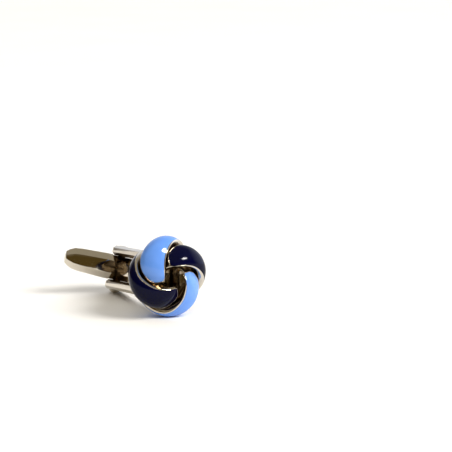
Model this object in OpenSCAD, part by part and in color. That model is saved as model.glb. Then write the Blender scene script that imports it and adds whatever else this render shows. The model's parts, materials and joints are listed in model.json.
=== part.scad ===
// Enamelled knot cufflink with a swivel toggle, lying on its side on a flat surface.
// Four rolled bands turn around a square hole, and each dives under the rim of the next.

/* [Knot] */
// Width of the knot across its fullest part
knot_d = 12; // [9:0.1:18]
// Height of the crown over the middle of the knot
crown_h = 3.25; // [2.4:0.05:4.5]
// Depth of the knot behind its middle
knot_back = 3.2; // [2.6:0.05:4.5]
// Width of the square hole through the knot
hole_w = 2.9; // [1.8:0.1:3.2]
// Depth of the channel between two bands, under the rim on the crown
channel_depth = 1.35; // [0.8:0.05:1.5]
// How far a band swells past its rim at the side
band_swell = 0.62; // [0.2:0.02:0.8]

/* [Enamel] */
// Width of the raised rim beside each enamel cell
rim_w = 0.26; // [0.15:0.01:0.4]
// Width of the thin metal line at the low side of each cell
line_w = 0.13; // [0.08:0.01:0.2]
// Thickness of the enamel
enamel_t = 0.36; // [0.2:0.02:0.5]
// Gap between enamel and metal
inlay_gap = 0.03; // [0.02:0.01:0.05]

/* [Yoke] */
// Distance from the middle of the knot to the pivot
pivot_reach = 18.1; // [14:0.1:22]
// Width of the yoke over both arms
yoke_w = 6.8; // [5.8:0.1:8.5]
// How far the arms stand off the knot's middle, along the pin
stem_side = -0.27; // [-0.4:0.01:0.4]
// Thickness of one arm
arm_t = 1.5; // [0.9:0.05:1.6]
// Width of one arm
arm_w = 3.2; // [2.6:0.1:4]
// Bevel along the edges of an arm
arm_bevel = 0.4; // [0.1:0.05:0.5]
// Width of the soldered foot behind the knot
foot_d = 7.4; // [7:0.1:8.4]
// Thickness of the soldered foot
foot_t = 0.6; // [0.4:0.1:1.2]
// Width of the spigot that closes the hole from behind
spigot_d = 5.8; // [5:0.1:6.4]
// Depth of the spigot's seat in the back of the knot
seat_depth = 1.3; // [0.8:0.1:1.6]
// Gap between the knot and the yoke's foot
seat_gap = 0.05; // [0.03:0.01:0.1]

/* [Pin] */
// Thickness of the pivot pin
pin_d = 1.2; // [0.8:0.05:1.6]
// Width of the pin's domed head and of its riveted end
pin_head_d = 1.8; // [1.5:0.05:2.4]
// Height of the pin's domed head, on the side that the cufflink lies on
pin_head_h = 0.45; // [0.3:0.05:0.6]
// Height of the pin's riveted end, on the upper side
rivet_h = 0.15; // [0.1:0.05:0.3]
// Gap around the pin in the toggle's bore
pin_gap = 0.05; // [0.03:0.01:0.1]

/* [Toggle] */
// Length of the toggle
toggle_l = 17.6; // [14:0.1:22]
// Thickness of the toggle's full half, along the pin
toggle_t = 3.9; // [3.2:0.1:4.6]
// Depth of the toggle, along the yoke
toggle_depth = 4; // [3.2:0.1:4.4]
// Size over the toggle's bevelled corners
toggle_corner = 4.2; // [3.4:0.01:5]
// How far the toggle stands turned from square, at rest
rest_turn = 6; // [0:1:10]
// Gap between the toggle's slim half and each arm
arm_gap = 0.05; // [0.04:0.01:0.3]
// Gap between the toggle's shoulder and the edge of the arms
shoulder_gap = 0.12; // [0.08:0.01:0.3]

/* [Hidden] */
$fn = 48;

metal = "silver";
light_blue = "cornflowerblue";
navy = "midnightblue";

knot_r = knot_d / 2;
rim_r = knot_r - 0.93 * band_swell;

// The rim of one band, from its tip in the hole to the back of the knot.
// Columns: radius as a share of rim_r, height as a share of crown_h, turn in degrees
RIM = [
    [0.304, 0.757, 223.7],
    [0.309, 0.982, 178.6],
    [0.467, 1.002, 143.5],
    [0.731, 0.846, 118],
    [0.975, 0.530, 97],
    [1.014, 0.047, 76],
    [0.881, -0.650, 51.2],
    [0.760, -0.905, 36]
];

// The low side of one band, and its swell, along the same rim.
// Columns: share of the rim's length, side as a share of the way to the next rim,
// depth as a share of channel_depth, swell as a share of band_swell
LOW = [
    [0, 0.15, 0.10, 0],
    [0.14, 0.39, 0.52, 0.04],
    [0.22, 0.62, 0.62, 0.16],
    [0.30, 0.79, 0.67, 0.30],
    [0.40, 0.905, 0.66, 0.46],
    [0.50, 0.935, 0.57, 0.66],
    [0.60, 0.925, 0.40, 0.88],
    [0.70, 0.90, 0.20, 1],
    [0.80, 0.875, 0.14, 0.96],
    [0.90, 0.86, 0.12, 0.7],
    [1, 0.85, 0.10, 0.3]
];

// The profile of one half of the toggle, from its middle to its nose.
// Columns: share of the half length, and the shares left there of the thickness, of the depth
// and of the size over the bevelled corners
NOSE = [
    [0, 1, 1, 1],
    [0.14, 1, 1, 1],
    [0.30, 0.995, 0.896, 0.936],
    [0.74, 0.90, 0.608, 0.695],
    [0.86, 0.83, 0.53, 0.61],
    [0.94, 0.66, 0.42, 0.466],
    [1, 0.46, 0.30, 0.31]
];

function lerp(a, b, t) = a + (b - a) * t;
function unit(v) = v / norm(v);
function polar(r, turn, z) = [r * cos(turn), r * sin(turn), z];

// A smooth value from evenly spaced rows of a table, at a share t of its length
function row_at(i, rows) = rows[max(0, min(len(rows) - 1, i))];
function spline4(a, b, c, d, t) =
    0.5 * (2 * b + (c - a) * t + (2 * a - 5 * b + 4 * c - d) * t * t + (3 * b - a - 3 * c + d) * t * t * t);
function smooth_row(rows, t, i) =
    spline4(row_at(i - 1, rows), row_at(i, rows), row_at(i + 1, rows), row_at(i + 2, rows), t - i);
function rim_at(s) =
    let (t = s * (len(RIM) - 1), row = smooth_row(RIM, t, min(floor(t), len(RIM) - 2)))
    [row[0] * rim_r, row[1] * crown_h, row[2]];
function low_at(s, col) = lookup(s, [for (row = LOW) [row[0], row[col]]]);
function low_side(s) = low_at(s, 1);
function low_depth(s) = low_at(s, 2) * channel_depth;
function swell(s) = low_at(s, 3) * band_swell;

// The heart of a band's section, which every depth is measured towards
heart_r = 0.6 * rim_r;
heart_z = 0.2 * crown_h;

// A point on band number m at a share s along it, a share u across it and a depth under the rim
function on_knot(s, u, depth, m) =
    let (rim = rim_at(s),
         out = [rim[0] - heart_r, rim[1] - heart_z],
         k = 1 - depth / norm(out))
    polar(heart_r + out[0] * k, rim[2] + 90 * (u + m), heart_z + out[1] * k);

// The top of the enamel, and the metal's line beside it, w being the share of the way to the low side
function dome(s, w) = low_depth(s) * pow(w, 2.2) - swell(s) * sin(180 * pow(w, 0.8));
function turn_share(s, width) = width / (rim_at(s)[0] * PI / 2);

// How far a channel's walls lean, and where along a band its cell begins and ends
wall_run = 0.1;
cell_start = 0.11;
cell_end = 0.93;
cell_steps = 26;
cell_cols = 8;

// The channel runs out where the bands meet the back
channel_side = 0.42 * channel_depth;
channel_out = 0.9;
function floor_depth(s) =
    low_depth(s) + (s > channel_out
        ? lerp(channel_side, 0.05, (s - channel_out) / (1 - channel_out))
        : min(channel_depth + 0.1 - low_depth(s), channel_side + 0.9 * max(0, 0.35 - s)));

// Where a cell's two long sides lie across the band, and the columns of points between two such sides
function rim_end(s) = min(turn_share(s, rim_w), 0.3 * low_side(s));
function line_start(s) = low_side(s) - min(turn_share(s, line_w), 0.15 * low_side(s));
function columns(a, b) = [for (i = [0:cell_cols - 1]) lerp(a, b, i / (cell_cols - 1))];
wall_lean = 0.002;

// One row across a band: rim, cell, line and channel. sunk is 1 where the cell is cut, 0 beyond it
function band_row(s, sunk, m) =
    let (low = low_side(s),
         run = min(turn_share(s, wall_run), 0.3 * (1 - low)),
         cut = enamel_t * sunk)
    concat(
        [on_knot(s, 0, 0, m), on_knot(s, rim_end(s), dome(s, rim_end(s) / low), m)],
        [for (u = columns(rim_end(s) + wall_lean, line_start(s) - wall_lean))
            on_knot(s, u, dome(s, u / low) + cut, m)],
        [on_knot(s, line_start(s), dome(s, line_start(s) / low), m),
         on_knot(s, low, low_depth(s), m),
         on_knot(s, low + run, floor_depth(s), m),
         on_knot(s, 1 - run, floor_depth(s), m)]);
function knot_ring(s, sunk) = [for (m = [0:3]) each band_row(s, sunk, m)];

// The square hole, whose corners lie hole_turn degrees round from a band's tip
hole_turn = 15;
function hole_reach(turn) =
    let (a = turn - RIM[0][2] - hole_turn, b = a - 90 * round(a / 90))
    (hole_w / 2) / cos(45 - abs(b));
function turned_to(ring, z, reach) = [for (p = ring) let (a = atan2(p[1], p[0])) polar(reach(a), a, z)];

spigot_r = spigot_d / 2;
seat_z = -knot_back + seat_depth;
mouth_z = 0.43 * crown_h;
first_ring = knot_ring(0, 0);
last_ring = knot_ring(1, 0);

// Each ring's share along the bands, and whether the cells are cut there
end_lean = 0.003;
function cell_share(i) = lerp(cell_start, cell_end, i / cell_steps);
knot_shares = concat(
    [for (i = [0:2]) [i * cell_start / 3, 0]],
    [[cell_start, 0], [cell_start + end_lean, 1]],
    [for (i = [1:cell_steps - 1]) [cell_share(i), 1]],
    [[cell_end - end_lean, 1], [cell_end, 0], [1, 0]]);

knot_rings = concat(
    [turned_to(first_ring, seat_z, function (a) hole_reach(a)),
     turned_to(first_ring, lerp(seat_z, mouth_z, 0.5), function (a) hole_reach(a)),
     turned_to(first_ring, mouth_z, function (a) hole_reach(a))],
    [for (k = knot_shares) knot_ring(k[0], k[1])],
    [turned_to(last_ring, -knot_back, function (a) foot_d / 2),
     turned_to(last_ring, -knot_back, function (a) spigot_r + seat_gap),
     turned_to(last_ring, seat_z, function (a) spigot_r + seat_gap)]);

// A closed tube of rings, joined ring to ring and the last back to the first
function tube_faces(rings, size) = [
    for (i = [0:rings - 1], j = [0:size - 1])
        let (i2 = (i + 1) % rings, j2 = (j + 1) % size, a = i * size + j, b = i * size + j2,
             c = i2 * size + j2, d = i2 * size + j)
        each [[a, b, c], [a, c, d]]];
module ring_solid(rings) {
    polyhedron(points = [for (ring = rings) each ring], faces = tube_faces(len(rings), len(rings[0])),
               convexity = 10);
}

// One enamel cell: rows of a closed section, capped at both ends
under = enamel_t - 1.5 * inlay_gap;
function cell_row(s, m) =
    let (low = low_side(s),
         side_gap = turn_share(s, inlay_gap) + wall_lean,
         top = columns(rim_end(s) + side_gap, line_start(s) - side_gap))
    concat([for (u = top) on_knot(s, u, dome(s, u / low), m)],
           [for (i = [cell_cols - 1:-1:0]) on_knot(s, top[i], dome(s, top[i] / low) + under, m)]);
// The underside is split along the same diagonals as the pocket's floor, so that the two stay apart
function strip_faces(rows, size) = [
    for (i = [0:rows - 2], j = [0:size - 1])
        let (j2 = (j + 1) % size, a = i * size + j, b = i * size + j2, c = a + size, d = b + size)
        each j < size / 2 ? [[a, b, d], [a, d, c]] : [[a, b, c], [b, d, c]]];
function cap_faces(start, size, flip) = [
    for (j = [0:size / 2 - 2])
        let (a = start + j, b = start + j + 1, c = start + size - 2 - j, d = start + size - 1 - j)
        each flip ? [[a, c, b], [a, d, c]] : [[a, b, c], [a, c, d]]];
end_gap = end_lean + 0.003 + inlay_gap / 15;
cell_shares = [for (i = [0:cell_steps])
    max(cell_start + end_gap, min(cell_end - end_gap, cell_share(i)))];
function cell_points(m) = [for (s = cell_shares) each cell_row(s, m)];
module enamel_cell(m) {
    size = 2 * cell_cols;
    polyhedron(points = cell_points(m),
               faces = concat(strip_faces(cell_steps + 1, size), cap_faces(0, size, true),
                              cap_faces(cell_steps * size, size, false)),
               convexity = 8);
}

// The lying pose: the down direction, in the knot's own frame, of a plane under the knot's side,
// the pin's lower head and the toggle's slim half
function ball_r(h) = (pin_head_d * pin_head_d / 4 + h * h) / (2 * h);
head_ball = ball_r(pin_head_h);
slim_t = yoke_w - 2 * arm_t - 2 * arm_gap;
half_l = toggle_l / 2;
enamel_points = [for (m = [0:3]) each cell_points(m)];
pivot = [0, stem_side, -pivot_reach];
function pin_touch(n) =
    pivot - [0, yoke_w / 2 + pin_gap / 2 + pin_head_h - head_ball, 0] + head_ball * n;
corner_sum = toggle_corner / sqrt(2);
function turned(p) =
    [p[0] * cos(rest_turn) - p[2] * sin(rest_turn), p[1], p[0] * sin(rest_turn) + p[2] * cos(rest_turn)];
function nose_points(n, end, thick) = [for (row = NOSE)
    let (y = min(thick / 2, row[1] * toggle_t / 2),
         z = max(0, min(row[2] * toggle_depth / 2, row[3] * corner_sum - y)))
    pivot + turned([end * row[0] * half_l, y * sign(n[1]), z * sign(n[2])])];
function furthest(points, n, i = 0, best = 0) =
    i == len(points) ? points[best] : furthest(points, n, i + 1, points[i] * n > points[best] * n ? i : best);
function facing_down(n) = n[1] > 0 ? -n : n;
function plane_normal(a, b, c) = facing_down(unit(cross(b - a, c - a)));
function down_after(n, steps) =
    steps == 0 ? n
               : down_after(plane_normal(furthest(enamel_points, n), pin_touch(n),
                                         furthest(nose_points(n, 1, slim_t), n)), steps - 1);
down = down_after(unit([0.28, -0.95, -0.13]), 12);
up = -down;
back = unit([0, 0, -1] - (up * [0, 0, -1]) * up);
side = cross(back, up);

// How far the whole piece reaches from the knot's middle in a direction
all_points = concat([for (ring = knot_rings) each ring], enamel_points);
function arm_reach(d) =
    let (flat = norm([d[0], d[2]]))
    d * pivot + max([for (y = [-yoke_w / 2, yoke_w / 2]) each
         [d[1] * y + (arm_w / 2 - arm_bevel) * flat,
          d[1] * (y - sign(y) * arm_bevel) + arm_w / 2 * flat]]);
function nose_reach(d) =
    max([for (end = [-1, 1], p = nose_points(d, end, end > 0 ? slim_t : toggle_t)) d * p]);
function reach(d) =
    max(max([for (p = all_points) d * p]), d * pin_touch(d), arm_reach(d), nose_reach(d));
lift = reach(down);
box_shift = [(reach(side) - reach(-side)) / 2, (reach(back) - reach(-back)) / 2];
module lying() {
    multmatrix([[side[0], side[1], side[2], -box_shift[0]],
                [back[0], back[1], back[2], -box_shift[1]],
                [up[0], up[1], up[2], lift],
                [0, 0, 0, 1]])
        children();
}

module knot_body() {
    color(metal) lying() ring_solid(knot_rings);
}

module enamel_light_1() {
    color(light_blue) lying() enamel_cell(0);
}

module enamel_navy_1() {
    color(navy) lying() enamel_cell(1);
}

module enamel_light_2() {
    color(light_blue) lying() enamel_cell(2);
}

module enamel_navy_2() {
    color(navy) lying() enamel_cell(3);
}

pin_r = pin_d / 2;
slim_r = slim_t / 2;
arm_out = yoke_w / 2;
foot_front = -knot_back - seat_gap;
spigot_front = seat_z - seat_gap;

// A bar with bevelled edges that runs back from the knot
module bevelled_bar(w, t, l, bevel) {
    rotate([180, 0, 0])
        linear_extrude(l)
            polygon([[-w / 2 + bevel, -t / 2], [w / 2 - bevel, -t / 2], [w / 2, -t / 2 + bevel],
                     [w / 2, t / 2 - bevel], [w / 2 - bevel, t / 2], [-w / 2 + bevel, t / 2],
                     [-w / 2, t / 2 - bevel], [-w / 2, -t / 2 + bevel]]);
}

// The round end of an arm, bevelled like the bar
module bevelled_end(w, t, bevel) {
    rotate([90, 0, 0]) {
        cylinder(h = t - 2 * bevel, d = w, center = true);
        translate([0, 0, t / 2 - bevel])
            cylinder(h = bevel, d1 = w, d2 = w - 2 * bevel);
        translate([0, 0, -t / 2])
            cylinder(h = bevel, d1 = w - 2 * bevel, d2 = w);
    }
}

module arm() {
    translate([0, 0, foot_front - foot_t / 2])
        bevelled_bar(arm_w, arm_t, pivot_reach + foot_front - foot_t / 2, arm_bevel);
    translate([0, 0, -pivot_reach])
        bevelled_end(arm_w, arm_t, arm_bevel);
}

module yoke() {
    color(metal) lying()
        difference() {
            union() {
                translate([0, 0, foot_front - foot_t])
                    cylinder(h = foot_t, d = foot_d);
                translate([0, 0, foot_front - foot_t / 2])
                    cylinder(h = spigot_front - foot_front + foot_t / 2, r = spigot_r);
                for (s = [-1, 1])
                    translate([0, stem_side + s * (arm_out - arm_t / 2), 0])
                        arm();
            }
            translate(pivot + [0, arm_out + 1, 0])
                rotate([90, 0, 0])
                    cylinder(h = yoke_w + 2, r = pin_r + pin_gap / 2);
        }
}

module pin_head(h) {
    intersection() {
        translate([0, 0, h - ball_r(h)])
            sphere(r = ball_r(h));
        cylinder(h = h + 1, r = pin_head_d);
    }
}

module pivot_pin() {
    color(metal) lying()
        translate(pivot)
            union() {
                translate([0, arm_out + pin_gap, 0])
                    rotate([90, 0, 0])
                        cylinder(h = yoke_w + 2 * pin_gap, r = pin_r);
                translate([0, -arm_out - pin_gap / 2, 0])
                    rotate([90, 0, 0])
                        pin_head(pin_head_h);
                translate([0, arm_out + pin_gap / 2, 0])
                    rotate([-90, 0, 0])
                        pin_head(rivet_h);
            }
}

// The outline of the toggle seen along one of its sides, half being its half size there
module toggle_outline(half, col) {
    last = len(NOSE) - 1;
    nose = [for (row = NOSE) [row[0] * half_l, row[col] * half]];
    polygon(concat(
        nose,
        [for (i = [last:-1:0]) [nose[i][0], -nose[i][1]]],
        [for (i = [1:last]) -nose[i]],
        [for (i = [last:-1:1]) [-nose[i][0], nose[i][1]]]));
}

// The eight-sided bar: its sides, its faces and its bevelled corners cut from one another
module toggle_bar() {
    intersection() {
        linear_extrude(toggle_t * 2, center = true)
            toggle_outline(toggle_t / 2, 1);
        rotate([90, 0, 0])
            linear_extrude(toggle_t * 2, center = true)
                toggle_outline(toggle_depth / 2, 2);
        rotate([45, 0, 0])
            linear_extrude(toggle_t * 2, center = true)
                toggle_outline(toggle_corner / 2, 3);
        rotate([-45, 0, 0])
            linear_extrude(toggle_t * 2, center = true)
                toggle_outline(toggle_corner / 2, 3);
    }
}

module toggle() {
    shoulder = arm_w / 2 + shoulder_gap;
    color(metal) lying()
        translate(pivot)
            rotate([0, -rest_turn, 0])
                difference() {
                    toggle_bar();
                    for (y = [slim_r, -slim_r - toggle_t])
                        translate([-shoulder, y, -toggle_t])
                            cube([half_l * 2, toggle_t, toggle_t * 2]);
                    rotate([90, 0, 0])
                        cylinder(h = toggle_t * 2, r = pin_r + pin_gap, center = true);
                }
}

knot_body();
enamel_light_1();
enamel_navy_1();
enamel_light_2();
enamel_navy_2();
yoke();
pivot_pin();
toggle();
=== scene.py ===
# %% [markdown]
# # A silk-knot cufflink in metal and enamel
#
# A cufflink holds the two edges of a shirt cuff together. This one shows a knot of four
# rolled bands in enamel, and behind it a yoke of two arms carries a bar that swivels. Here
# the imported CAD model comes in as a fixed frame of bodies, and each piece that shows is
# made from it, smoother and with rounded edges. Lengths are in metres, as everywhere in
# Blender, so a helper turns millimetres into metres.

# %% Load the frame
import json
import math

import bmesh
import bpy
from mathutils import Matrix, Vector

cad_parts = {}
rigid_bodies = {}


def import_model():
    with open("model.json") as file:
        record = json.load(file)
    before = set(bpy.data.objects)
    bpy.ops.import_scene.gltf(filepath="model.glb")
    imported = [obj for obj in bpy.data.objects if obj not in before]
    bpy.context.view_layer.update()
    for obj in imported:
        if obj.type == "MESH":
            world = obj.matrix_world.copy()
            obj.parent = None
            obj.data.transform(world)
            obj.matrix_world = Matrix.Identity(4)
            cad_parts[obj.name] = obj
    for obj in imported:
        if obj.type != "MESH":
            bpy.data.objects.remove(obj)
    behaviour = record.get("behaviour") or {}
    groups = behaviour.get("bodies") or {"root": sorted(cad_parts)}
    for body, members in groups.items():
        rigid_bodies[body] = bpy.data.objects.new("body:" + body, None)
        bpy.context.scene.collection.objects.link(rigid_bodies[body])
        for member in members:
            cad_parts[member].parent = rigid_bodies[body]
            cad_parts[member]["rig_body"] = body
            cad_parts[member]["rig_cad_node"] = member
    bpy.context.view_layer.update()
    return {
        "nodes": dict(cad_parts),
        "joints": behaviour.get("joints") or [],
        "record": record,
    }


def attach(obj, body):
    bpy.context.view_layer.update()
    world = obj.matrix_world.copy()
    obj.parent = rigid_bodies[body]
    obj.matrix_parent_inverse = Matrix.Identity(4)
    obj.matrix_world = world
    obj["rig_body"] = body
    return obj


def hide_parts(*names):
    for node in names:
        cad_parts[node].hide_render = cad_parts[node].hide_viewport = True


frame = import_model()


def mm(*sizes):
    made = [s / 1000 for s in sizes]
    return made[0] if len(made) == 1 else Vector(made)


# %% [markdown]
# ## Where the knot is and which way it faces
#
# The cufflink lies on its side, so nothing on it is square to the table. The record gives
# the direction of the stem and the axis of the hinge. From these two come the knot's own
# three directions, and every later step that needs "across the bar" or "out of the knot's
# face" uses them. The other way would be to measure angles by eye, which drifts as soon as
# the CAD changes.

# %% The knot's own directions
record = frame["record"]
hinge = frame["joints"][0]
stem = next(m for m in record["mounts"] if m["name"] == "cuff_stem")

PIVOT_REACH = mm(18.1)
STEM_SIDE = mm(-0.27)
FACE = -Vector(stem["axis"]).normalized()
PIN_AXIS = -Vector(hinge["axis"]).normalized()
BAR = PIN_AXIS.cross(FACE).normalized()
pivot = Vector(hinge["pos_m"])
knot_middle = pivot + FACE * PIVOT_REACH - PIN_AXIS * STEM_SIDE
print("knot's middle, mm:", [round(c * 1000, 2) for c in knot_middle])

# %% [markdown]
# ## The camera
#
# Small things are photographed with a long lens from about a forearm away, so that near
# and far parts keep nearly the same size. The knot sits left of the picture's middle and
# below it, because the photograph held a second cufflink. The camera is aimed at an empty
# point beside the knot. Shifting the lens would frame it too, but would push the object
# aside in all other views.

# %% Camera
CAMERA_TURN = math.radians(-23.75)
CAMERA_RISE = math.radians(12.29)
CAMERA_ROLL = math.radians(-1.03)
CAMERA_DISTANCE = mm(337.5)
AIM_RIGHT = mm(8.83)
AIM_UP = mm(7.38)

towards_camera = Vector((
    math.sin(CAMERA_TURN) * math.cos(CAMERA_RISE),
    -math.cos(CAMERA_TURN) * math.cos(CAMERA_RISE),
    math.sin(CAMERA_RISE)))
level_right = Vector((math.cos(CAMERA_TURN), math.sin(CAMERA_TURN), 0))
roll = Matrix.Rotation(CAMERA_ROLL, 3, towards_camera)
right = roll @ level_right
above = towards_camera.cross(right)

bpy.ops.object.select_all(action="DESELECT")
eye = knot_middle + towards_camera * CAMERA_DISTANCE
aim = knot_middle + right * AIM_RIGHT + above * AIM_UP
back_of_view = (eye - aim).normalized()
side_of_view = above.cross(back_of_view).normalized()
turn = Matrix((side_of_view, back_of_view.cross(side_of_view), back_of_view)).transposed()
bpy.ops.object.camera_add(location=eye, rotation=turn.to_euler())
camera = bpy.context.object
camera.name = "photo_camera"
camera.data.lens = 181.7
camera.data.clip_start = mm(10)
camera.data.clip_end = 20
bpy.context.scene.camera = camera
print("camera at, mm:", [round(c * 1000) for c in eye])

# %% [markdown]
# ## The table
#
# The cufflink lies on a white sheet that runs on far past the picture's edges. A plane is
# enough for it, and it isn't part of the object. Its white is a little mottled, as matt
# card is, so that the shadow has something to fall on.

# %% Table
TABLE_SIZE = 3.0


def nodes_of(material):
    material.use_nodes = True
    tree = material.node_tree
    return tree, tree.nodes["Principled BSDF"]


def noise_on_object(tree, scale, detail, roughness=0.5):
    place = tree.nodes.new("ShaderNodeTexCoord")
    noise = tree.nodes.new("ShaderNodeTexNoise")
    noise.inputs["Scale"].default_value = scale
    noise.inputs["Detail"].default_value = detail
    noise.inputs["Roughness"].default_value = roughness
    tree.links.new(place.outputs["Object"], noise.inputs["Vector"])
    return noise


def ramp_of(tree, value, stops):
    ramp = tree.nodes.new("ShaderNodeValToRGB")
    for i, (at, colour) in enumerate(stops):
        stop = ramp.color_ramp.elements[i] if i < 2 else ramp.color_ramp.elements.new(at)
        stop.position = at
        stop.color = (*colour, 1)
    tree.links.new(value, ramp.inputs["Fac"])
    return ramp


bpy.ops.mesh.primitive_plane_add(size=TABLE_SIZE, location=(0, 0, 0))
table = bpy.context.object
table.name = "table"
card = bpy.data.materials.new("white_card")
tree, shader = nodes_of(card)
mottle = noise_on_object(tree, 40, 4)
whites = [(0.3, (0.90, 0.895, 0.885)), (0.7, (0.92, 0.915, 0.905))]
shade = ramp_of(tree, mottle.outputs["Fac"], whites)
tree.links.new(shade.outputs["Color"], shader.inputs["Base Color"])
shader.inputs["Roughness"].default_value = 0.85
shader.inputs["Specular IOR Level"].default_value = 0.1
table.data.materials.append(card)
print("table:", TABLE_SIZE, "m square")

# %% [markdown]
# ## Light
#
# Polished metal and enamel show what stands round them more than their own colour. The
# photograph tells where that was: the navy enamel is nearly black towards the camera and to
# the left, so the room there was dim, its right edge is pale, and the arms' upper faces are
# white. So a white card stood to the right and behind, brightest at its near end. The room,
# its ceiling and the card are made in the world's shader, from the direction in which a ray
# leaves. The highlights come from one window, to the right of the camera. It leans, as the
# oval highlight on the navy does. The shadow is softer than so small a window gives, so
# what the window does to matt surfaces comes from a wider lamp in the same place. Two weak
# lamps pale the shadow. The polish doesn't show these three, because the highlights have no
# trace of them. All lamps are far off, so that their light is as strong at the picture's
# far edge as on the knot.

# %% World
ROOM_BROWN = (0.100, 0.066, 0.018)
CEILING = (0.40, 0.36, 0.28)
CARD_WHITE = (0.86, 0.89, 0.95)
CARD_BRIGHT = (1.7, 1.8, 2.0)
WAVINESS = 0.15
BLACK, WHITE = (0, 0, 0), (1, 1, 1)


def heading(turn, rise):
    """A direction, by its turn to the right of straight ahead and its rise, in degrees."""
    turn, rise = math.radians(turn), math.radians(rise)
    level = math.cos(rise)
    return Vector((math.sin(turn) * level, -math.cos(turn) * level, math.sin(rise)))


world = bpy.data.worlds.new("room")
bpy.context.scene.world = world
world.use_nodes = True
tree = world.node_tree
backdrop = tree.nodes["Background"]
place = tree.nodes.new("ShaderNodeTexCoord")
ripple = tree.nodes.new("ShaderNodeTexNoise")
ripple.inputs["Scale"].default_value = 3.0
ripple.inputs["Detail"].default_value = 2
tree.links.new(place.outputs["Generated"], ripple.inputs["Vector"])


def along(direction):
    """How far a ray leaves along a direction, made a little wavy."""
    facing = tree.nodes.new("ShaderNodeVectorMath")
    facing.operation = "DOT_PRODUCT"
    facing.inputs[1].default_value = direction
    tree.links.new(place.outputs["Generated"], facing.inputs[0])
    wavy = tree.nodes.new("ShaderNodeMath")
    wavy.operation = "MULTIPLY_ADD"
    wavy.inputs[1].default_value = WAVINESS
    tree.links.new(ripple.outputs["Fac"], wavy.inputs[0])
    tree.links.new(facing.outputs["Value"], wavy.inputs[2])
    return wavy.outputs["Value"]


room = ramp_of(tree, along(Vector((0, 0, 1))), [(0.36, ROOM_BROWN), (0.74, CEILING)])
wide_card = ramp_of(tree, along(heading(136, 2)), [(0.52, BLACK), (0.78, WHITE)])
near_end = ramp_of(tree, along(heading(98, 12)), [(0.88, BLACK), (1.0, WHITE)])
shown = room.outputs["Color"]
for patch, colour in ((wide_card, CARD_WHITE), (near_end, CARD_BRIGHT)):
    over = tree.nodes.new("ShaderNodeMix")
    over.data_type = "RGBA"
    tree.links.new(patch.outputs["Color"], over.inputs["Factor"])
    tree.links.new(shown, over.inputs["A"])
    over.inputs["B"].default_value = (*colour, 1)
    shown = over.outputs["Result"]
tree.links.new(shown, backdrop.inputs["Color"])
print("world made")

# %% Lamps
def lamp(name, turn, rise, lean, distance, size, watts, colour):
    """An oval area lamp that faces the knot, its long side turned by lean degrees."""
    away = heading(turn, rise)
    level = Matrix.Rotation(math.radians(lean), 3, away) @ heading(turn + 90, 0)
    facing = Matrix((level, away.cross(level), away)).transposed()
    place = knot_middle + away * distance
    bpy.ops.object.light_add(type="AREA", location=place, rotation=facing.to_euler())
    made = bpy.context.object
    made.name = name
    made.data.shape = "ELLIPSE"
    made.data.size, made.data.size_y = size
    made.data.energy = watts
    made.data.color = colour
    print(name, "at, m:", [round(c, 2) for c in made.location])
    return made


DAY = (1.0, 0.975, 0.94)
FILL = (1.0, 0.98, 0.95)
FILL_SIZE = (1.6, 1.3)

window = lamp("window", 36, 38, -36, 3.0, (1.05, 0.42), 100, DAY)
window.visible_diffuse = False
daylight = lamp("daylight", 36, 39, 0, 3.0, (1.8, 1.4), 96, DAY)
front_fill = lamp("front_fill", -35, 50, 0, 2.0, FILL_SIZE, 9, FILL)
back_fill = lamp("back_fill", -165, 50, 0, 2.0, FILL_SIZE, 4, FILL)
for unseen in (daylight, front_fill, back_fill):
    unseen.visible_glossy = False

# %% [markdown]
# ## From facets to smooth metal
#
# The CAD body of the knot is a grid of squares, each cut into two triangles. Smoothed as
# it is, the surface would ripple along the cuts, because subdivision likes squares. The
# cuts are found by walking: start at a triangle with a square corner, whose longest side
# must be the cut, and step to each neighbour, where the cut runs the same way. Dissolving
# the cuts gives the squares back. Blender's Tris to Quads guesses pair by pair, which
# leaves stray triangles where the bands twist.

# %% Copies of a node
def only(obj):
    bpy.ops.object.select_all(action="DESELECT")
    obj.select_set(True)
    bpy.context.view_layer.objects.active = obj


def edit(obj):
    only(obj)
    bpy.ops.object.mode_set(mode="EDIT")
    bpy.ops.mesh.select_mode(type="EDGE")
    return bmesh.from_edit_mesh(obj.data)


def leave_edit(obj):
    bmesh.update_edit_mesh(obj.data)
    bpy.ops.object.mode_set(mode="OBJECT")


def copy_of(node, name):
    only(frame["nodes"][node])
    bpy.ops.object.duplicate()
    made = bpy.context.object
    made.name = made.data.name = name
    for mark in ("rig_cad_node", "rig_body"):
        if mark in made:
            del made[mark]
    made.parent = None
    edit(made)
    bpy.ops.mesh.select_all(action="SELECT")
    bpy.ops.mesh.remove_doubles(threshold=mm(0.0005))
    bpy.ops.mesh.customdata_custom_splitnormals_clear()
    leave_edit(made)
    return made


# %% Squares from triangles
SHARP = math.radians(38)
SMOOTHINGS = 2


def corner_skew(face):
    cut = max(face.edges, key=lambda e: e.calc_length())
    corner = next(v for v in face.verts if v not in cut.verts)
    a, b = (e.other_vert(corner).co - corner.co for e in corner.link_edges if e in face.edges)
    return abs(a.normalized().dot(b.normalized())), cut


def is_sharp(edge):
    return len(edge.link_faces) == 2 and edge.calc_face_angle(0) > SHARP


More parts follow.
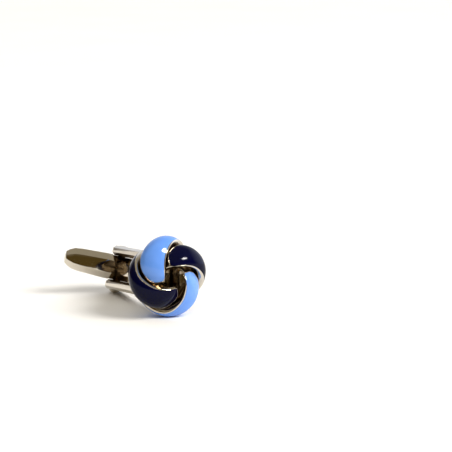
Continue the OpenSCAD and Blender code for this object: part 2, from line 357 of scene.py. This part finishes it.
def find_cuts(mesh):
    cuts, seen = set(), set()
    for seed in sorted(mesh.faces, key=lambda f: corner_skew(f)[0]):
        if seed in seen:
            continue
        todo = [(seed, corner_skew(seed)[1])]
        while todo:
            face, cut = todo.pop()
            if face in seen:
                continue
            seen.add(face)
            cuts.add(cut)
            for edge in face.edges:
                near = next(f for f in edge.link_faces if f != face)
                if near in seen or (is_sharp(edge) and edge != cut):
                    continue
                if edge == cut:
                    todo.append((near, cut))
                    continue
                off_cut = next(v for v in edge.verts if v not in cut.verts)
                far = next(v for v in near.verts if v not in edge.verts)
                todo.append((near, next(e for e in near.edges if set(e.verts) == {far, off_cut})))
    return cuts


def squares_back(obj):
    mesh = edit(obj)
    bpy.ops.mesh.select_all(action="DESELECT")
    for cut in find_cuts(mesh):
        cut.select = True
    bpy.ops.mesh.dissolve_edges(use_verts=False, use_face_split=False)
    mesh = bmesh.from_edit_mesh(obj.data)
    squares = sum(len(f.verts) == 4 for f in mesh.faces)
    print(obj.name, "faces:", len(mesh.faces), "of which squares:", squares)
    leave_edit(obj)


def crease_sharp(obj, weight):
    mesh = edit(obj)
    layer = mesh.edges.layers.float.get("crease_edge") or mesh.edges.layers.float.new("crease_edge")
    count = 0
    for e in mesh.edges:
        if is_sharp(e):
            e[layer] = weight
            count += 1
    leave_edit(obj)
    print(obj.name, "creased edges:", count)


def subdivide(obj, levels):
    only(obj)
    smooth = obj.modifiers.new("smooth", "SUBSURF")
    smooth.levels = smooth.render_levels = levels
    bpy.ops.object.modifier_apply(modifier=smooth.name)
    bpy.ops.object.shade_smooth()
    print(obj.name, "faces after smoothing:", len(obj.data.polygons))


# %% [markdown]
# ## The knot's metal
#
# On the real piece this is one casting: four bands roll over each other, with a bright
# rim on the high side of each enamel cell and a hair-thin line on its low side. Polishing
# rounds every edge a little. The rims are kept with partly creased edges, which
# subdivision rounds by a hair. A bevel would do it too, but it stops where the bands
# thin out at their tips.

# %% Knot metal
RIM_CREASE = 0.62

knot_metal = copy_of("knot_body", "knot_metal")
squares_back(knot_metal)
crease_sharp(knot_metal, RIM_CREASE)
subdivide(knot_metal, SMOOTHINGS)
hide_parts("knot_body")

# %% [markdown]
# ## The enamel
#
# Enamel is glass fired into its cell. It stands a touch proud and curls down to the metal
# at its edge. The same copy, squares and smoothing give its dome, and a softer crease
# gives that curl.

# %% Enamel cells
ENAMEL_CELLS = ["enamel_light_1", "enamel_navy_1", "enamel_light_2", "enamel_navy_2"]
CURL_CREASE = 0.5
enamels = {}
for cell in ENAMEL_CELLS:
    piece = copy_of(cell, cell + "_glass")
    squares_back(piece)
    crease_sharp(piece, CURL_CREASE)
    subdivide(piece, SMOOTHINGS)
    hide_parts(cell)
    enamels[cell] = piece

# %% [markdown]
# ## Yoke, pin and bar
#
# These are machined and then tumbled, so their faces are flat and only the edges are
# soft. Flat faces come out of the CAD as many thin triangles. Dissolving what is flat
# leaves one face each, and then a narrow bevel in two or three steps turns each edge
# without touching the faces.

# %% Tumbled pieces
FLAT = math.radians(0.6)
ROUNDED = math.radians(24)
CORNER = math.radians(20)
ROUND_CORNER = math.radians(40)


def tumbled(node, name, width, steps=3, corner=CORNER):
    made = copy_of(node, name)
    edit(made)
    bpy.ops.mesh.select_all(action="SELECT")
    bpy.ops.mesh.dissolve_limited(angle_limit=FLAT)
    leave_edit(made)
    only(made)
    bevel = made.modifiers.new("tumbling", "BEVEL")
    bevel.width = width
    bevel.segments = steps
    bevel.limit_method = "ANGLE"
    bevel.angle_limit = corner
    bevel.harden_normals = False
    bpy.ops.object.modifier_apply(modifier=bevel.name)
    bpy.ops.object.shade_smooth_by_angle(angle=ROUNDED)
    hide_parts(node)
    print(name, "faces:", len(made.data.polygons))
    return made


yoke = tumbled("yoke", "yoke_metal", mm(0.16))
pin = tumbled("pivot_pin", "pin_metal", mm(0.05), 2, ROUND_CORNER)
bar = tumbled("toggle", "bar_metal", mm(0.12))

# %% [markdown]
# ## Painted shade in the hollows
#
# The channels of the metal are painted darker brown, as painted shade, and their polish
# is made a little duller. To paint that, each point of the metal needs to know how deep it
# lies. From every point a fan of short rays goes out, and the share that hits something is
# kept on the mesh as an attribute, which the material reads. Between the arms behind the
# knot the rays are longer, so the painted shade reaches further there. The back of the
# knot and the foot get a painted shade of their own, dark enough that the bar mirrors them
# nearly black. All this is worked out once from the shape, so it is the same from every side.

# %% Recess attribute
from mathutils.bvhtree import BVHTree

# The share of blocked rays paints shade on the metal. Behind the knot the rays reach further, and
# the back of the knot and the foot get a fixed least share of painted shade.
RAY_REACH = mm(2.2)
SHADE_REACH_BEHIND = mm(7)
RAY_START = mm(0.02)
RAYS = 28
BEHIND = mm(-1.5)
BACK_ENDS = mm(-6)
BACK_SHADE_SHARE = 0.66


def fan(count):
    golden = math.pi * (3 - math.sqrt(5))
    rays = []
    for i in range(count):
        height = (i + 0.5) / count
        out = math.sqrt(1 - height * height)
        rays.append(Vector((out * math.cos(golden * i), out * math.sin(golden * i), height)))
    return rays


def tree_of(objects):
    points, faces = [], []
    for obj in objects:
        start = len(points)
        points += [v.co.copy() for v in obj.data.vertices]
        faces += [[start + i for i in f.vertices] for f in obj.data.polygons]
    return BVHTree.FromPolygons(points, faces)


# Stores on each point the share of blocked rays, which the metal turns into painted shade.
def mark_recess(obj, walls):
    rays = fan(RAYS)
    values = []
    for v in obj.data.vertices:
        turn = v.normal.to_track_quat("Z", "Y")
        start = v.co + v.normal * RAY_START
        height = (v.co - knot_middle).dot(FACE)
        facing = v.normal.dot(FACE)
        behind = obj != bar and facing < 0.2 and height < BEHIND
        reach = SHADE_REACH_BEHIND if behind else RAY_REACH
        hits = sum(walls.ray_cast(start, turn @ ray, reach)[0] is not None for ray in rays)
        # Points on the back of the knot and on the foot get at least a fixed share of painted
        # shade.
        at_back = behind and facing < -0.3 and height > BACK_ENDS
        values.append(max(hits / RAYS, BACK_SHADE_SHARE if at_back else 0))
    painted_shade = obj.data.attributes.new("painted_shade", "FLOAT", "POINT")
    painted_shade.data.foreach_set("value", values)
    print(obj.name, "mean recess:", round(sum(values) / len(values), 3))


walls = tree_of([knot_metal, yoke, pin, bar, *enamels.values()])
for piece in (knot_metal, yoke, pin, bar):
    mark_recess(piece, walls)

# %% [markdown]
# ## Polished plating
#
# The metal is bright plating over brass, buffed on a wheel. Its colour is nearly white
# with a warm cast, and it is almost a mirror. What makes it look real is that the mirror
# isn't perfect: buffing leaves low waves that bend each reflection, and hairline
# scratches that blur it here and there. Both come from noise on the object's own
# coordinates, one for the bump and one for the roughness. Where many rays from a point are
# blocked, the colour turns to a painted shade of dark brown and the polish gets a little duller.

# %% Plated metal
# Painted shade: the dark brown that the metal turns to where many rays from a point are blocked.
SHADE_BROWN = (0.17, 0.12, 0.065)
SHADE_AND_DULL_FROM = 0.22
SHADE_AND_DULL_AT = 0.72
DULLNESS = 0.10
WAVE_HEIGHT = mm(0.02)


def plated(name, colour, worn, rough, wave):
    made = bpy.data.materials.new(name)
    tree, shader = nodes_of(made)
    shader.inputs["Metallic"].default_value = 1.0
    tone = noise_on_object(tree, 260, 3)
    tint = ramp_of(tree, tone.outputs["Fac"], [(0.35, worn), (0.65, colour)])
    painted_shade = tree.nodes.new("ShaderNodeAttribute")
    painted_shade.attribute_name = "painted_shade"
    depth = tree.nodes.new("ShaderNodeMapRange")
    depth.interpolation_type = "SMOOTHSTEP"
    depth.inputs["From Min"].default_value = SHADE_AND_DULL_FROM
    depth.inputs["From Max"].default_value = SHADE_AND_DULL_AT
    tree.links.new(painted_shade.outputs["Fac"], depth.inputs["Value"])
    # Painted shade: the base colour is mixed towards dark brown by the share of blocked rays.
    shaded_tone = tree.nodes.new("ShaderNodeMix")
    shaded_tone.data_type = "RGBA"
    tree.links.new(depth.outputs["Result"], shaded_tone.inputs["Factor"])
    tree.links.new(tint.outputs["Color"], shaded_tone.inputs["A"])
    shaded_tone.inputs["B"].default_value = (*SHADE_BROWN, 1)
    tree.links.new(shaded_tone.outputs["Result"], shader.inputs["Base Color"])
    haze = noise_on_object(tree, 900, 6, 0.65)
    spread = tree.nodes.new("ShaderNodeMapRange")
    spread.inputs["From Min"].default_value = 0.35
    spread.inputs["From Max"].default_value = 0.75
    spread.inputs["To Min"].default_value = rough[0]
    spread.inputs["To Max"].default_value = rough[1]
    tree.links.new(haze.outputs["Fac"], spread.inputs["Value"])
    unpolished = tree.nodes.new("ShaderNodeMath")
    unpolished.operation = "MULTIPLY_ADD"
    unpolished.inputs[1].default_value = DULLNESS
    tree.links.new(depth.outputs["Result"], unpolished.inputs[0])
    tree.links.new(spread.outputs["Result"], unpolished.inputs[2])
    tree.links.new(unpolished.outputs["Value"], shader.inputs["Roughness"])
    buffing = noise_on_object(tree, 480, 2)
    bump = tree.nodes.new("ShaderNodeBump")
    bump.inputs["Strength"].default_value = wave
    bump.inputs["Distance"].default_value = WAVE_HEIGHT
    tree.links.new(buffing.outputs["Fac"], bump.inputs["Height"])
    tree.links.new(bump.outputs["Normal"], shader.inputs["Normal"])
    return made


PLATED = plated("plated_metal", (0.66, 0.61, 0.53), (0.60, 0.55, 0.46), (0.03, 0.10), 0.25)

# %% [markdown]
# ## Enamel colours
#
# The light cells are an opaque sky blue and the dark ones a navy that is nearly black.
# Fired glass has a clear skin over its pigment. The shader's own gloss stands for it, with
# an index of refraction below that of real glass, because the photograph's navy mirrors
# very little of the pale sheet. Slow cloudiness in the colour and a faint unevenness of
# the skin keep it from looking like plastic.

# %% Enamel
def enamel(name, deep, pale, skin):
    made = bpy.data.materials.new(name)
    tree, shader = nodes_of(made)
    cloud = noise_on_object(tree, 210, 5, 0.6)
    tint = ramp_of(tree, cloud.outputs["Fac"], [(0.3, deep), (0.7, pale)])
    tree.links.new(tint.outputs["Color"], shader.inputs["Base Color"])
    speck = noise_on_object(tree, 1500, 4)
    spread = tree.nodes.new("ShaderNodeMapRange")
    spread.inputs["To Min"].default_value = 0.04
    spread.inputs["To Max"].default_value = 0.12
    tree.links.new(speck.outputs["Fac"], spread.inputs["Value"])
    tree.links.new(spread.outputs["Result"], shader.inputs["Roughness"])
    shader.inputs["IOR"].default_value = skin
    orange_peel = noise_on_object(tree, 420, 2)
    bump = tree.nodes.new("ShaderNodeBump")
    bump.inputs["Strength"].default_value = 0.12
    bump.inputs["Distance"].default_value = WAVE_HEIGHT
    tree.links.new(orange_peel.outputs["Fac"], bump.inputs["Height"])
    tree.links.new(bump.outputs["Normal"], shader.inputs["Normal"])
    return made


SKY = enamel("light_blue_enamel", (0.108, 0.270, 0.74), (0.142, 0.315, 0.80), 1.46)
NAVY = enamel("navy_enamel", (0.0005, 0.0008, 0.013), (0.0012, 0.0016, 0.021), 1.21)

# %% [markdown]
# ## Putting it together
#
# Each piece gets its finish and rides on the CAD body that carries it: the knot, its
# enamel, the yoke and the pin are one body, and the bar is the other, so it swings when
# the joint is posed. The CAD nodes underneath get the same finishes.

# %% Finishes, bodies and slots
def dress(piece, material, body):
    piece.data.materials.clear()
    piece.data.materials.append(material)
    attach(piece, body)


for piece in (knot_metal, yoke, pin):
    dress(piece, PLATED, "knot")
dress(bar, PLATED, "toggle")
for cell, piece in enamels.items():
    light = "light" in cell
    dress(piece, SKY if light else NAVY, "knot")
for name, node in frame["nodes"].items():
    node.data.materials.clear()
    node.data.materials.append(SKY if "light" in name else NAVY if "navy" in name else PLATED)

# %% View transform
bpy.context.scene.view_settings.view_transform = "Standard"
